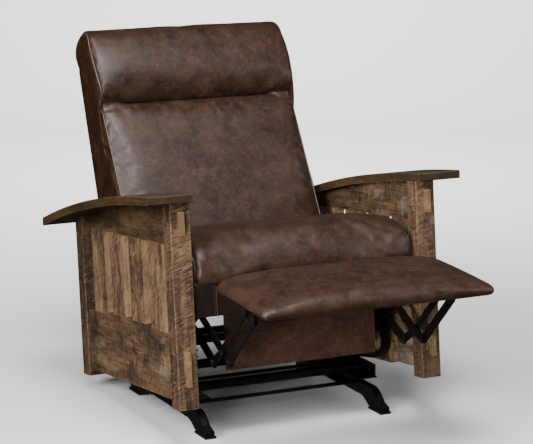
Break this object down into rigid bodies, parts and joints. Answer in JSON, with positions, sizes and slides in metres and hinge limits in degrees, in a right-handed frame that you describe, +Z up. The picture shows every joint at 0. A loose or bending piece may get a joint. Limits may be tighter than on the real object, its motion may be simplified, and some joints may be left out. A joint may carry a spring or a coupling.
{
  "type": "rocker recliner",
  "caption": "Rocker recliner with open slatted wooden sides, leather seat, reclining back with head pillow, folding footrest and a sprung steel rocker base.",
  "frame": {"origin": "middle of the footprint on the floor, with the chair as it stands in the picture", "axes": "+X to the right seen from the front, +Y to the back, +Z up"},
  "size_m": [0.8668, 1.2528, 0.9513],
  "materials": {
    "weathered_oak": "rough-sawn reclaimed oak, waxed, with saw marks and dark patches",
    "frame_timber": "planed frame timber and plywood, unfinished or stained",
    "black_steel": "gloss black enamel on formed steel",
    "zinc_steel": "zinc-plated rivets, bolts, pins and inserts",
    "spring_steel": "oil-blackened spring wire",
    "padded_leather": "dark brown distressed leather over foam and fibre, semi-gloss",
    "distressed_leather": "dark brown distressed leather on board, semi-gloss",
    "glide_plastic": "moulded black plastic"
  },
  "bodies": {
    "base": {"base_rail_left": "black_steel", "base_rail_right": "black_steel", "foot_glides": "glide_plastic", "rocker_platforms": "black_steel", "base_cross_tubes": "black_steel", "tie_rods": "black_steel", "tube_brackets": "black_steel", "lower_spring_plates": "black_steel", "rocker_springs": "spring_steel"},
    "front_link_pair": {"front_links": "black_steel", "front_link_rivets": "zinc_steel"},
    "rear_link_pair": {"rear_links": "black_steel", "rear_link_rivets": "zinc_steel"},
    "carrier_link_pair": {"carrier_links": "black_steel"},
    "outer_link_pair": {"outer_links": "black_steel"},
    "footrest": {"footrest_brackets": "black_steel", "footrest_board": "frame_timber", "footrest_pad": "padded_leather", "footrest_rivets": "zinc_steel"},
    "back": {"back_stiles": "frame_timber", "back_rails": "frame_timber", "back_shell": "distressed_leather", "back_cushion": "padded_leather", "head_pillow": "padded_leather", "recline_brackets": "black_steel"},
    "chair": {"arm_left": "weathered_oak", "arm_right": "weathered_oak", "cross_bars": "black_steel", "front_post_left": "weathered_oak", "front_post_right": "weathered_oak", "lower_rail_left": "weathered_oak", "lower_rail_right": "weathered_oak", "mechanism_bolts": "zinc_steel", "mechanism_plate_left": "black_steel", "mechanism_plate_right": "black_steel", "mechanism_rails": "black_steel", "mounting_boards": "frame_timber", "plate_rivets": "zinc_steel", "rail_inserts": "zinc_steel", "rear_post_left": "weathered_oak", "rear_post_right": "weathered_oak", "recline_pins": "zinc_steel", "rocker_cam_left": "black_steel", "rocker_cam_right": "black_steel", "seat_cushion": "padded_leather", "seat_front_cover": "distressed_leather", "seat_front_rail": "frame_timber", "seat_rear_rail": "frame_timber", "seat_side_boards": "frame_timber", "seat_springs": "spring_steel", "side_slats_left": "weathered_oak", "side_slats_right": "weathered_oak", "skirt_cleat": "frame_timber", "skirt_panel": "distressed_leather", "tenon_pegs": "weathered_oak", "top_rail_left": "weathered_oak", "top_rail_right": "weathered_oak", "upper_spring_plates": "black_steel"}
  },
  "joints": [
    {"name": "rock", "type": "hinge", "parent": "base", "child": "chair", "pos_m": [0, 0.0642, 0.1136], "axis": [1, 0, 0], "range_deg": [-2, 11], "stiffness_Nm_per_rad": 657, "springref_deg": 3.14, "deforming": ["rocker_springs"]},
    {"name": "recline", "type": "hinge", "parent": "chair", "child": "back", "pos_m": [0, 0.3002, 0.32165], "axis": [1, 0, 0], "range_deg": [-25, 8]},
    {"name": "footrest_fold", "type": "hinge", "parent": "chair", "child": "front_link_pair", "pos_m": [0, -0.13782, 0.3319], "axis": [1, 0, 0], "range_deg": [0, 81.5]},
    {"name": "rear_link_swing", "type": "hinge", "parent": "chair", "child": "rear_link_pair", "pos_m": [0, -0.08258, 0.29376], "axis": [1, 0, 0], "range_deg": [0, 81.5]},
    {"name": "carrier_swing", "type": "hinge", "parent": "front_link_pair", "child": "carrier_link_pair", "pos_m": [0, -0.30452, 0.25404], "axis": [1, 0, 0], "range_deg": [-81.5, 0]},
    {"name": "footrest_tilt", "type": "hinge", "parent": "carrier_link_pair", "child": "footrest", "pos_m": [0, -0.44169, 0.39052], "axis": [1, 0, 0], "range_deg": [0, 81.5]},
    {"name": "outer_link_swing", "type": "hinge", "parent": "front_link_pair", "child": "outer_link_pair", "pos_m": [0, -0.34831, 0.23965], "axis": [1, 0, 0], "range_deg": [-81.5, 0]}
  ],
  "couplings": [
    {"joint": "rear_link_swing", "follows": "footrest_fold", "ratio": 1},
    {"joint": "carrier_swing", "follows": "footrest_fold", "ratio": -1},
    {"joint": "footrest_tilt", "follows": "footrest_fold", "ratio": 1},
    {"joint": "outer_link_swing", "follows": "footrest_fold", "ratio": -1}
  ]
}
